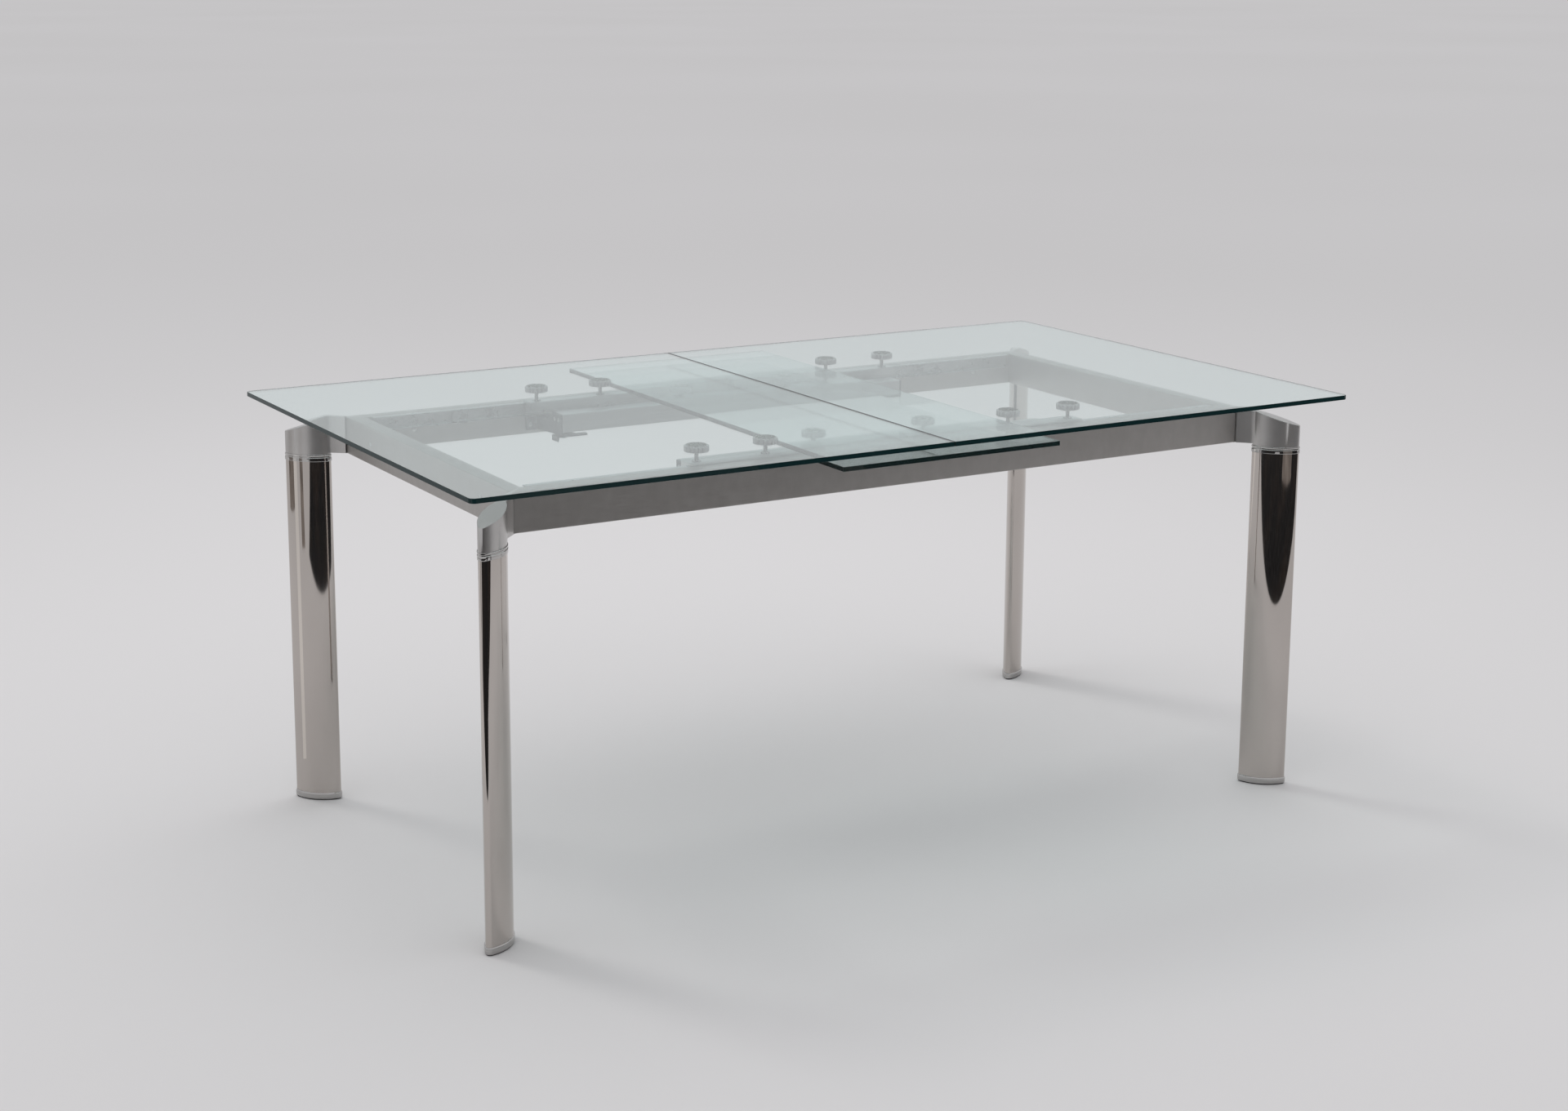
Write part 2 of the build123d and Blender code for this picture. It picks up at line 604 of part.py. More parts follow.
# ---- slide bars that carry the glass halves ------------------------------------------
for end, sx in ENDS.items():
    for side, sy in SIDES.items():
        with BuildPart() as bar:
            with BuildSketch(cross_plane(sx * BAR_START)):
                box_sketch(sy * BAR_IN_Y, sy * BAR_BOX_Y, BAR_BOTTOM, BAR_TOP)
                box_sketch(sy * BAR_IN_Y, sy * BAR_OUT_Y, BAR_TOP - BAR_PLATE, BAR_TOP)
                for y in GROOVE_YS:
                    with Locations((sy * y, BAR_TOP)):
                        Rectangle(GROOVE_WIDTH, 2 * GROOVE_DEPTH, mode=Mode.SUBTRACT)
            extrude(amount=sx * (BAR_END - BAR_START))
            with BuildSketch(Plane.XY.offset(BAR_TOP)):
                with Locations(*[(sx * x, sy * PAD_Y) for x in PAD_XS]):
                    Circle(STUD_RADIUS + FIT)
            extrude(amount=-STUD_SINK, mode=Mode.SUBTRACT)
        save(bar, f"slide_bar_{side}_{end}")


# ---- fluted glass pads ---------------------------------------------------------------
def fluted_disc(x, y, z, bore):
    """Thumb-wheel shaped support disc with a fluted rim and a blind bore from below."""
    with BuildSketch(Plane.XY.offset(z)) as rim:
        with Locations((x, y)):
            Circle(PAD_RADIUS)
            with PolarLocations(PAD_RADIUS + FLUTE_OUT, FLUTES):
                Circle(FLUTE_RADIUS, mode=Mode.SUBTRACT)
    extrude(rim.sketch, amount=PAD_HEIGHT)
    with BuildSketch(Plane.XY.offset(z)) as hole:
        with Locations((x, y)):
            Circle(bore)
    extrude(hole.sketch, amount=PAD_HEIGHT - PAD_ROOF, mode=Mode.SUBTRACT)


def round_bar(x, y, low, high, radius):
    """Upright cylinder between two heights."""
    with BuildSketch(Plane.XY.offset(low)) as disc:
        with Locations((x, y)):
            Circle(radius)
    extrude(disc.sketch, amount=high - low)


for end, sx in ENDS.items():
    spots = [(sx * x, sy * PAD_Y) for x in PAD_XS for sy in SIDES.values()]
    stud_top = PAD_LOW + PAD_HEIGHT - PAD_ROOF - STUD_ROOM
    with BuildPart() as pads:
        for x, y in spots:
            fluted_disc(x, y, PAD_LOW, STUD_RADIUS + FIT)
    save(pads, f"glass_pads_{end}")
    with BuildPart() as studs:
        for x, y in spots:
            round_bar(x, y, BAR_TOP - STUD_SINK, stud_top, STUD_RADIUS)
            round_bar(x, y, BAR_TOP, BAR_TOP + FLANGE_HEIGHT, FLANGE_RADIUS)
    save(studs, f"pad_studs_{end}")
    with BuildPart() as cushions:
        for x, y in spots:
            round_bar(x, y, GLASS_BOTTOM - CUSHION, GLASS_BOTTOM, CUSHION_RADIUS)
    save(cushions, f"pad_cushions_{end}")

# ---- leaf beams ----------------------------------------------------------------------
for side, sy in SIDES.items():
    with BuildPart() as beam:
        with BuildSketch(cross_plane(-BEAM_HALF)):
            box_sketch(sy * BEAM_IN_Y, sy * BEAM_OUT_Y, BEAM_BOTTOM, BEAM_TOP)
        extrude(amount=2 * BEAM_HALF)
        fillet(beam.edges().filter_by(Axis.X).group_by(Axis.Z)[-1], BEAM_EDGE)
        with BuildSketch(cross_plane(-BEAM_HALF + END_PLATE)):
            box_sketch(
                sy * (BEAM_IN_Y + BEAM_WALL), sy * (BEAM_OUT_Y - BEAM_WALL),
                BEAM_BOTTOM - 1, BEAM_TOP - BEAM_WALL,
            )
        extrude(amount=2 * (BEAM_HALF - END_PLATE), mode=Mode.SUBTRACT)
        with BuildSketch(Plane.XY.offset(BEAM_TOP + 1)):
            with Locations((-POST_X, sy * POST_Y), (POST_X, sy * POST_Y)):
                Circle(BUSH_RADIUS + FIT)
        extrude(amount=-BEAM_WALL - 2, mode=Mode.SUBTRACT)
        pivots = [(-POST_X, KNEE_Z), (POST_X, KNEE_Z)]
        wall_out = sy * (BEAM_OUT_Y + 1)
        wall_in = sy * (BEAM_OUT_Y - BEAM_WALL - 1)
        drill_y(pivots, PIVOT_RADIUS + FIT, wall_out, wall_in)
        ends = [(sy * y, BEAM_SCREW_Z) for y in BEAM_SCREW_YS]
        drill_x(ends, SMALL_SCREW_RADIUS + HOLE_GAP, -BEAM_HALF - 1, -BEAM_HALF + END_PLATE + 1)
        drill_x(ends, SMALL_SCREW_RADIUS + HOLE_GAP, BEAM_HALF - END_PLATE - 1, BEAM_HALF + 1)
    save(beam, f"leaf_beam_{side}")

with BuildPart() as post_bushes:
    for x, y in POSTS:
        round_bar(x, y, BUSH_LOW, BEAM_TOP, BUSH_RADIUS)
        round_bar(x, y, BEAM_TOP, BUSH_FLANGE_TOP, BUSH_FLANGE)
    for x, y in POSTS:
        with BuildSketch(Plane.XY.offset(BUSH_LOW - 1)) as bore:
            with Locations((x, y)):
                Circle(POST_RADIUS + FIT)
        extrude(bore.sketch, amount=BUSH_FLANGE_TOP - BUSH_LOW + 2, mode=Mode.SUBTRACT)
save(post_bushes, "post_bushes")

with BuildPart() as knee_pivots:
    for x, y in POSTS:
        sy = 1 if y > 0 else -1
        seat = inward_y(x, sy * BEAM_OUT_Y, KNEE_Z, -sy)
        screw(seat, PIVOT_RADIUS, BEAM_OUT_Y - PIVOT_TIP_Y, SMALL_HEAD, SMALL_PROUD)
save(knee_pivots, "knee_pivots")

# ---- beam brackets -------------------------------------------------------------------
for side, sy in SIDES.items():
    with BuildPart() as brackets:
        for sx in (-1, 1):
            with BuildSketch(cross_plane(sx * BEAM_HALF)) as web:
                with BuildLine():
                    Polyline(
                        (sy * BEAM_IN_Y, SHELF_LOW),
                        (sy * BEAM_IN_Y, BEAM_TOP - 1),
                        (sy * BEAM_OUT_Y, BEAM_TOP - 1),
                        (sy * BRACKET_STEP_Y, BRACKET_STEP_Z),
                        (sy * RAIL_INNER_Y, BRACKET_STEP_Z),
                        (sy * RAIL_INNER_Y, BRACKET_LOW),
                        (sy * BEAM_OUT_Y, SHELF_LOW),
                        close=True,
                    )
                make_face()
                with Locations(*[(sy * y, BEAM_SCREW_Z) for y in BEAM_SCREW_YS]):
                    Circle(SMALL_SCREW_RADIUS + HOLE_GAP, mode=Mode.SUBTRACT)
            extrude(web.sketch, amount=sx * BRACKET)
            with BuildSketch(side_plane(sy * RAIL_INNER_Y)) as base:
                box_sketch(sx * BASE_START, sx * BASE_END, BRACKET_LOW, BRACKET_STEP_Z)
                with Locations(*[p for p in BRACKET_SCREWS if p[0] * sx > 0]):
                    Circle(SMALL_SCREW_RADIUS + HOLE_GAP, mode=Mode.SUBTRACT)
            extrude(base.sketch, amount=sy * BRACKET)
            with BuildSketch(Plane.XY.offset(SHELF_LOW)) as shelf:
                box_sketch(sx * SHELF_START, sx * BEAM_HALF, sy * BEAM_IN_Y, sy * BEAM_OUT_Y)
                with Locations((sx * abs(LATCH_X), sy * POST_Y)):
                    Circle(LATCH_PIN + FIT, mode=Mode.SUBTRACT)
            extrude(shelf.sketch, amount=SHELF_HIGH - SHELF_LOW)
    save(brackets, f"beam_brackets_{side}")

with BuildPart() as bracket_screws:
    for sy in SIDES.values():
        for sx in (-1, 1):
            for x, z in BRACKET_SCREWS:
                if x * sx > 0:
                    seat = inward_y(x, sy * (RAIL_INNER_Y - BRACKET), z, sy)
                    screw(seat, SMALL_SCREW_RADIUS, BRACKET_SCREW_LENGTH, SMALL_HEAD, SMALL_PROUD)
            for y in BEAM_SCREW_YS:
                seat = inward_x(sx * (BEAM_HALF + BRACKET), sy * y, BEAM_SCREW_Z, -sx)
                screw(seat, SMALL_SCREW_RADIUS, BRACKET_SCREW_LENGTH, SMALL_HEAD, SMALL_PROUD)
save(bracket_screws, "bracket_screws")

# ---- latch levers under the left ends of the beams -----------------------------------
for side, sy in SIDES.items():
    nose_y = sy * (POST_Y + LATCH_NOSE_EDGE)
    near_y = sy * (POST_Y - LATCH_HALF)
    far_y = sy * (POST_Y + LATCH_HALF)
    tail_x = LATCH_X - LATCH_TAIL
    with BuildPart() as latch:
        with BuildSketch(Plane.XY.offset(LATCH_LOW)):
            with BuildLine():
                Polyline(
                    (tail_x, near_y),
                    (tail_x, far_y),
                    (LATCH_X + LATCH_SHOULDER, far_y),
                    (LATCH_X + LATCH_NOSE / 2, nose_y),
                    (LATCH_X + LATCH_NOSE, nose_y),
                    (LATCH_X + LATCH_NOSE, near_y),
                    close=True,
                )
            make_face()
            fillet(vertices().group_by(Axis.X)[-1], LATCH_ROUND)
            with Locations((LATCH_X, sy * POST_Y)):
                Circle(LATCH_PIN + FIT, mode=Mode.SUBTRACT)
        extrude(amount=LATCH_THICK)
        with BuildSketch(Plane.XY.offset(LATCH_LOW)):
            box_sketch(tail_x, tail_x + LATCH_THICK, near_y, far_y)
        extrude(amount=-LATCH_LIP)
    save(latch, f"latch_lever_{side}")

with BuildPart() as latch_pins:
    for sy in SIDES.values():
        y = sy * POST_Y
        head_top = LATCH_LOW - PIN_PLAY
        round_bar(LATCH_X, y, head_top, SHELF_HIGH, LATCH_PIN)
        round_bar(LATCH_X, y, head_top - PIN_HEAD_HEIGHT, head_top, PIN_HEAD)
        round_bar(LATCH_X, y, SHELF_HIGH, SHELF_HIGH + PIN_CLIP_HEIGHT, PIN_CLIP)
save(latch_pins, "latch_pins")


# ---- knees and posts of the leaf lift ------------------------------------------------
def knee_point(x, turn):
    """Middle pivot of a knee whose upper arm stands turn degrees from straight down."""
    angle = math.radians(turn)
    return (x + ARM_LENGTH * math.sin(angle), KNEE_Z - ARM_LENGTH * math.cos(angle))


def arm_outline(start, finish, holes):
    """Round-ended arm between two pivots, with its holes."""
    mid = ((start[0] + finish[0]) / 2, (start[1] + finish[1]) / 2)
    tilt = math.degrees(math.atan2(finish[1] - start[1], finish[0] - start[0]))
    with Locations(Location((mid[0], mid[1], 0), (0, 0, tilt))):
        SlotCenterToCenter(ARM_LENGTH, ARM_WIDTH)
    for point, radius in holes:
        with Locations(point):
            Circle(radius, mode=Mode.SUBTRACT)


for corner, (sx, sy) in CORNERS.items():
    fixed = (sx * POST_X, KNEE_Z)
    elbow = knee_point(fixed[0], -KNEE_START)
    foot = (fixed[0], FOOT_Z)
    with BuildPart() as upper_arm:
        with BuildSketch(side_plane(sy * UPPER_OUT_Y)) as plate:
            arm_outline(fixed, elbow, [(fixed, PIVOT_RADIUS + FIT)])
        extrude(plate.sketch, amount=sy * ARM_PLATE)
        with BuildSketch(side_plane(sy * UPPER_IN_Y)) as pin:
            with Locations(elbow):
                Circle(PIN_RADIUS)
        extrude(pin.sketch, amount=sy * (UPPER_IN_Y - PIN_TIP_Y))
    save(upper_arm, f"knee_upper_{corner}")
    with BuildPart() as lower_arm:
        with BuildSketch(side_plane(sy * LOWER_OUT_Y)) as plate:
            bores = [(elbow, PIN_RADIUS + FIT), (foot, PIN_RADIUS + FIT)]
            arm_outline(elbow, foot, bores)
        extrude(plate.sketch, amount=sy * ARM_PLATE)
    save(lower_arm, f"knee_lower_{corner}")

with BuildPart() as leaf_posts:
    for x, y in POSTS:
        sy = 1 if y > 0 else -1
        with BuildSketch(side_plane(sy * FOOT_OUT_Y)) as eye:
            box_sketch(x - EYE_HALF, x + EYE_HALF, FOOT_Z - EYE_LOW, FOOT_Z + EYE_HIGH)
        extrude(eye.sketch, amount=sy * (FOOT_OUT_Y - FOOT_IN_Y))
        with BuildSketch(side_plane(sy * LOWER_OUT_Y)) as pin:
            with Locations((x, FOOT_Z)):
                Circle(PIN_RADIUS)
        extrude(pin.sketch, amount=sy * (LOWER_OUT_Y - FOOT_OUT_Y))
        round_bar(x, y, FOOT_Z + EYE_HIGH, POST_TOP, POST_RADIUS)
save(leaf_posts, "leaf_posts")

with BuildPart() as leaf_pads:
    for x, y in POSTS:
        fluted_disc(x, y, LEAF_PAD_LOW, POST_RADIUS + FIT)
save(leaf_pads, "leaf_pads")

with BuildPart() as leaf_cushions:
    for x, y in POSTS:
        round_bar(x, y, LEAF_BOTTOM - CUSHION, LEAF_BOTTOM, CUSHION_RADIUS)
save(leaf_cushions, "leaf_cushions")
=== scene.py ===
"""Looks of the extendable glass dining table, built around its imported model. Metres."""

import json
import math

import bmesh
import bpy
from mathutils import Matrix, Vector


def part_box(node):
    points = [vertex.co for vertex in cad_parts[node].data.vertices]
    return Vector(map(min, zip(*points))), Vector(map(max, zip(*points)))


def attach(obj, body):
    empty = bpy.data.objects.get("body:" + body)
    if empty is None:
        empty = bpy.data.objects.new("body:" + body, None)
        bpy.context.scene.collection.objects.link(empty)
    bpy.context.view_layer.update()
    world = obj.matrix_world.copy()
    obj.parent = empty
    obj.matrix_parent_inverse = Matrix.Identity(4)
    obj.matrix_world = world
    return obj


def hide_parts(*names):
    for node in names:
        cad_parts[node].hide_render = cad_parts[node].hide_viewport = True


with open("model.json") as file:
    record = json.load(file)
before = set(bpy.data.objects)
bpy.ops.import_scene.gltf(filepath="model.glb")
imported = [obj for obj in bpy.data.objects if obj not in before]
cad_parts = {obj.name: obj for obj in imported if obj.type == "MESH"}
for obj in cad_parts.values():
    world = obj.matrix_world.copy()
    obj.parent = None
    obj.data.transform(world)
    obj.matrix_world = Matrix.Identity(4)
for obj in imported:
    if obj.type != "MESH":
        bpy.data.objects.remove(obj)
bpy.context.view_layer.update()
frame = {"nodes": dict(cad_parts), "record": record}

MM = 0.001
SIDES = {"front": -1, "rear": 1}
ENDS = {"left": -1, "right": 1}
CORNERS = {f"{side}_{end}": (sx, sy) for side, sy in SIDES.items() for end, sx in ENDS.items()}

# ---- sizes of the details ------------------------------------------------------------
GLASS_CORNER = 10 * MM
CORNER_STEPS = 8             # round each corner of a plate
SEAM_REACH = 3 * MM          # edges nearer than this to the middle meet at the seam
LEAF_CORNER = 2 * MM
GLASS_ARRIS = 0.5 * MM
SQUARE_CORNER = GLASS_ARRIS + 0.2 * MM
GLASS_DENSITY = 12.0         # of the green in the depth of the glass
LENS_LONG = 42.5 * MM        # half length of the legs' lens section
LENS_SHORT = 18.5 * MM       # half width of it
LENS_NOSE = 7 * MM
LENS_SEGMENTS = 40           # along each wide side
NOSE_SEGMENTS = 14
COLLAR_PROUD = 1.2 * MM      # how far the collar's beads stand out from the leg
FOOT_PROUD = 1.5 * MM
SOCKET_SHARE = 0.5           # hex socket of a screw against its head radius
SCREW_SEGMENTS = 48
RAIL_SCREW_HEAD = (4.5 * MM, 2.0 * MM)     # radius and height
SMALL_SCREW_HEAD = (3.8 * MM, 1.2 * MM)
FLUTES = 18
FLUTE_STEPS = 8              # points along one flute
FLUTE_DEPTH = 1.3 * MM
PAD_BEVEL = 0.8 * MM
EDGE_BEVEL = 0.35 * MM
RAIL_BEVEL = 0.5 * MM
CASTING_BEVEL = 0.8 * MM
BEVEL_ANGLE = math.radians(40)             # edges sharper than this are bevelled
SMOOTH_ANGLE = math.radians(32)            # edges flatter than this are shaded smooth
FLAT_ANGLE = math.radians(0.4)             # facets flatter than this are joined
WELD = 1e-6                  # metres between points that are one

# ---- camera --------------------------------------------------------------------------
CAMERA_PLACE = (-2.3100, -3.8400, 1.5804)
CAMERA_YAW = 30.71
CAMERA_PITCH = 11.34
CAMERA_ROLL = 0.30
CAMERA_LENS = 58.0
CAMERA_SHIFT = -0.08

# ---- lights and studio ---------------------------------------------------------------
KEY_PLACE = (-1.85, 3.9, 4.4)
KEY_ANGLE = 14
KEY_POWER = 0.42
KEY_COLOUR = (1.0, 0.985, 0.965)
FILL_PLACE = (0.4, 1.2, 3.6)
FILL_TARGET = (0, 0.5, 0)
FILL_SIZE = (4.0, 3.0)
FILL_POWER = 34
FILL_COLOUR = (0.98, 0.98, 1.0)
STRIP_PLACE = (-0.3, 0.2, 4.0)
STRIP_SIZE = (2.4, 0.5)
STRIP_POWER = 2.5
WORLD_COLOUR = (0.80, 0.80, 0.815, 1)
WORLD_POWER = 0.85
FLOOR_HALF = 60.0
PAPER_EDGE = 1.43            # from the table's middle towards the camera, just out of the picture
PAPER_SLANT = 0.16           # how much nearer the edge comes per metre to the right
PAPER_SIDE = -1.75           # left end of the bare floor, across from the table's middle
BARE_FAR = 9                 # far end of the bare floor, towards the camera
BARE_RIGHT = 8
BARE_HEIGHT = 1 * MM
CLUTTER_HEIGHT = 2 * MM
# Painted reflections, what the legs mirror, seen from one of them: nearest and farthest reach, first
# and last turn.
LIGHT_STAND = ("rear_left", 1.95, 3.6, -50, -40)
BOARDS = ("rear_left", 2.4, 4.5, -92, -72)
STOOL = ("front_right", 2.75, 3.5, 13, 42)
LIT_PAPER = ("rear_left", 0.25, 3.2, -72, -60)


# ---- node materials ------------------------------------------------------------------
class Surface:
    """A node material with one Principled shader, and short ways to drive it."""

    def __init__(self, name, **values):
        self.material = bpy.data.materials.new(name)
        self.material.use_nodes = True
        self.tree = self.material.node_tree
        self.shader = self.tree.nodes["Principled BSDF"]
        for socket, value in values.items():
            self.shader.inputs[socket.replace("_", " ")].default_value = value

    def node(self, kind, **inputs):
        """Adds a node and sets its unlinked inputs by name."""
        made = self.tree.nodes.new(kind)
        for socket, value in inputs.items():
            made.inputs[socket.replace("_", " ")].default_value = value
        return made

    def link(self, source, target):
        """Joins an output to an input."""
        self.tree.links.new(source, target)

    def stretched(self, scale, output="Object"):
        """Texture coordinates of the piece, scaled along each axis."""
        place = self.node("ShaderNodeTexCoord")
        mapping = self.node("ShaderNodeMapping", Scale=scale)
        self.link(place.outputs[output], mapping.inputs["Vector"])
        return mapping.outputs["Vector"]

    def noise(self, scale, detail=4.0, stretch=(1, 1, 1)):
        """Noise in the piece's own metres, stretched along its axes."""
        texture = self.node("ShaderNodeTexNoise", Scale=scale, Detail=detail)
        self.link(self.stretched(stretch), texture.inputs["Vector"])
        return texture.outputs["Fac"]

    def ramp(self, factor, low, high, start=0.3, stop=0.7):
        """Two colours mixed by a factor."""
        ramp = self.node("ShaderNodeValToRGB")
        ends = ramp.color_ramp.elements
        ends[0].position, ends[1].position = start, stop
        ends[0].color, ends[1].color = (*low, 1), (*high, 1)
        self.link(factor, ramp.inputs["Fac"])
        self.link(ramp.outputs["Color"], self.shader.inputs["Base Color"])

    def rough(self, factor, low, high):
        """Roughness between two values by a factor."""
        span = self.node("ShaderNodeMapRange", From_Min=0.3, From_Max=0.7, To_Min=low, To_Max=high)
        self.link(factor, span.inputs["Value"])
        self.link(span.outputs["Result"], self.shader.inputs["Roughness"])

    def bump(self, factor, strength, distance):
        """Relief from a factor; distance is its depth in metres."""
        bump = self.node("ShaderNodeBump", Strength=strength, Distance=distance)
        self.link(factor, bump.inputs["Height"])
        self.link(bump.outputs["Normal"], self.shader.inputs["Normal"])


def leg_chrome():
    """Mirror chrome with faint wiping haze."""
    s = Surface("leg_chrome", Metallic=1.0)
    haze = s.noise(9.0, 5.0, (1, 1, 0.35))
    s.ramp(haze, (0.50, 0.463, 0.435), (0.56, 0.52, 0.49))
    s.rough(haze, 0.02, 0.06)
    return s.material


def trim_chrome():
    """Chrome of the collars and foot rings, with fine polishing lines around."""
    s = Surface("trim_chrome", Metallic=1.0)
    lines = s.noise(500.0, 2.0, (0.05, 0.05, 1))
    s.ramp(lines, (0.42, 0.41, 0.40), (0.56, 0.55, 0.54))
    s.rough(lines, 0.04, 0.09)
    return s.material


def cast_aluminium():
    """Satin polished casting: slight tone drift, fine grain."""
    s = Surface("cast_aluminium", Metallic=1.0)
    drift = s.noise(22.0, 3.0)
    s.ramp(drift, (0.51, 0.50, 0.49), (0.56, 0.55, 0.54))
    s.rough(s.noise(300.0, 3.0), 0.28, 0.32)
    s.bump(s.noise(1400.0, 2.0), 0.05, 0.00005)
    return s.material


def rail_aluminium():
    """Rail finish: upright cloudy mottling under fine lengthwise brushing."""
    s = Surface("rail_aluminium", Metallic=1.0)
    s.ramp(s.noise(70.0, 6.0, (1, 1, 0.5)), (0.41, 0.395, 0.38), (0.46, 0.445, 0.43), 0.2, 0.8)
    brushing = s.noise(1100.0, 3.0, (0.05, 0.05, 1))
    s.rough(brushing, 0.34, 0.44)
    s.bump(brushing, 0.10, 0.00006)
    return s.material


def satin_aluminium():
    """Anodised extrusions with die lines along them."""
    s = Surface("satin_aluminium", Metallic=1.0)
    lines = s.noise(900.0, 2.0, (0.01, 1, 1))
    s.ramp(lines, (0.56, 0.58, 0.58), (0.68, 0.70, 0.70))
    s.rough(lines, 0.28, 0.40)
    s.bump(lines, 0.10, 0.00006)
    return s.material


def slide_steel():
    """Zinc-plated sheet with a small spangle and grease haze."""
    s = Surface("slide_steel", Metallic=1.0)
    spangle = s.node("ShaderNodeTexVoronoi", Scale=260.0)
    s.link(s.stretched((0.4, 1, 1)), spangle.inputs["Vector"])
    s.ramp(spangle.outputs["Distance"], (0.46, 0.48, 0.49), (0.60, 0.62, 0.62), 0.1, 0.9)
    s.rough(s.noise(40.0), 0.22, 0.42)
    return s.material


def pad_metal():
    """Turned metal: fine rings about each disc's own centre."""
    s = Surface("pad_metal", Metallic=1.0)
    place = s.node("ShaderNodeTexCoord")
    centred = s.node("ShaderNodeVectorMath")
    centred.operation = "SUBTRACT"
    centred.inputs[1].default_value = (0.5, 0.5, 0.5)
    flat = s.node("ShaderNodeMapping", Scale=(1, 1, 0))
    rings = s.node("ShaderNodeTexWave", Scale=12.0, Distortion=0.4, Detail=2.0)
    rings.wave_type = "RINGS"
    rings.rings_direction = "SPHERICAL"
    s.link(place.outputs["Generated"], centred.inputs[0])
    s.link(centred.outputs["Vector"], flat.inputs["Vector"])
    s.link(flat.outputs["Vector"], rings.inputs["Vector"])
    s.ramp(rings.outputs["Fac"], (0.26, 0.265, 0.27), (0.38, 0.385, 0.39))
    s.rough(rings.outputs["Fac"], 0.18, 0.30)
    s.bump(rings.outputs["Fac"], 0.15, 0.0001)
    return s.material


def clear_cushion():
    """Clear soft plastic with a little haze."""
    s = Surface("clear_cushion", Transmission_Weight=0.6, IOR=1.42)
    cloud = s.noise(120.0)
    s.ramp(cloud, (0.80, 0.84, 0.83), (0.90, 0.93, 0.92))
    s.rough(cloud, 0.18, 0.35)
    return s.material


def bush_plastic():
    """Grey nylon with a moulded grain."""
    s = Surface("bush_plastic", Subsurface_Weight=0.05)
    grain = s.noise(700.0)
    s.ramp(grain, (0.52, 0.52, 0.51), (0.60, 0.60, 0.59))
    s.rough(grain, 0.40, 0.55)
    s.bump(grain, 0.2, 0.0001)
    return s.material


def bracket_steel():
    """Grey powder coat with its orange-peel skin."""
    s = Surface("bracket_steel", Metallic=0.35)
    peel = s.noise(850.0, 1.0)
    s.ramp(s.noise(18.0), (0.075, 0.08, 0.085), (0.11, 0.115, 0.12))
    s.rough(peel, 0.38, 0.50)
    s.bump(peel, 0.25, 0.00015)
    return s.material


def screw_steel():
    """Plated screw heads, a little uneven from wear."""
    s = Surface("screw_steel", Metallic=1.0)
    wear = s.noise(600.0)
    s.ramp(wear, (0.52, 0.52, 0.51), (0.68, 0.67, 0.66))
    s.rough(wear, 0.18, 0.32)
    return s.material


def foot_rubber():
    """Dark rubber with a matt grain."""
    s = Surface("foot_rubber")
    grain = s.noise(900.0)
    s.ramp(grain, (0.015, 0.015, 0.015), (0.035, 0.035, 0.035))
    s.rough(grain, 0.65, 0.85)
    s.bump(grain, 0.4, 0.0002)
    return s.material


def glass(name, tone, transmission, ripple, gloss=0.5):
    """Float glass that lets lamps through, tinted green by its own depth."""
    s = Surface(name, IOR=1.52, Transmission_Weight=transmission, Specular_IOR_Level=gloss)
    s.ramp(s.noise(ripple, 2.0), [value * 0.985 for value in tone], tone)
    s.rough(s.noise(ripple * 0.5, 1.0), 0.0, 0.004)
    path = s.node("ShaderNodeLightPath")
    lamps = s.node("ShaderNodeBsdfTransparent", Color=(0.955, 0.965, 0.96, 1))
    mix = s.node("ShaderNodeMixShader")
    s.link(path.outputs["Is Shadow Ray"], mix.inputs["Fac"])
    s.link(s.shader.outputs["BSDF"], mix.inputs[1])
    s.link(lamps.outputs["BSDF"], mix.inputs[2])
    output = s.tree.nodes["Material Output"]
    s.link(mix.outputs["Shader"], output.inputs["Surface"])
    tint = s.node("ShaderNodeVolumeAbsorption", Color=(0.28, 0.82, 0.78, 1), Density=GLASS_DENSITY)
    s.link(tint.outputs["Volume"], output.inputs["Volume"])
    return s.material


def seam_edge():
    """Edges that meet in the middle of the top: painted shade, nearly black green, for the dark seam
    line.
    """
    s = Surface("seam_edge", Specular_IOR_Level=0.3)
    grain = s.noise(400.0, 2.0)
    s.ramp(grain, (0.002, 0.005, 0.005), (0.006, 0.012, 0.012))
    s.rough(grain, 0.3, 0.5)
    return s.material


MATERIALS = {
    "leg_chrome": leg_chrome(),
    "trim_chrome": trim_chrome(),
    "cast_aluminium": cast_aluminium(),
    "rail_aluminium": rail_aluminium(),
    "satin_aluminium": satin_aluminium(),
    "slide_steel": slide_steel(),
    "pad_metal": pad_metal(),
    "clear_cushion": clear_cushion(),
    "bush_plastic": bush_plastic(),
    "bracket_steel": bracket_steel(),
    "screw_steel": screw_steel(),
    "foot_rubber": foot_rubber(),
    "clear_glass": glass("clear_glass", (0.985, 1.0, 0.997), 1.0, 3.0),
}
# Edges of the top plates: painted shade, a nearly black green tone with half transmission and almost
# no gloss, for how dark the edge faces look.
TOP_EDGE = glass("top_edge", (0.012, 0.045, 0.048), 0.5, 60.0, 0.02)
LEAF_EDGE = glass("leaf_edge", (0.36, 0.74, 0.73), 0.975, 60.0, 0.3)
SEAM_EDGE = seam_edge()
SLOT_OF = {entry["node"]: entry["material_slot"] for entry in frame["record"]["subparts"]}
BODY_OF = {
    node: body
    for body, nodes in frame["record"]["behaviour"]["bodies"].items()
    for node in nodes
}

for node_name, node in frame["nodes"].items():
    for slot in node.material_slots:
        slot.material = MATERIALS[SLOT_OF[node_name]]


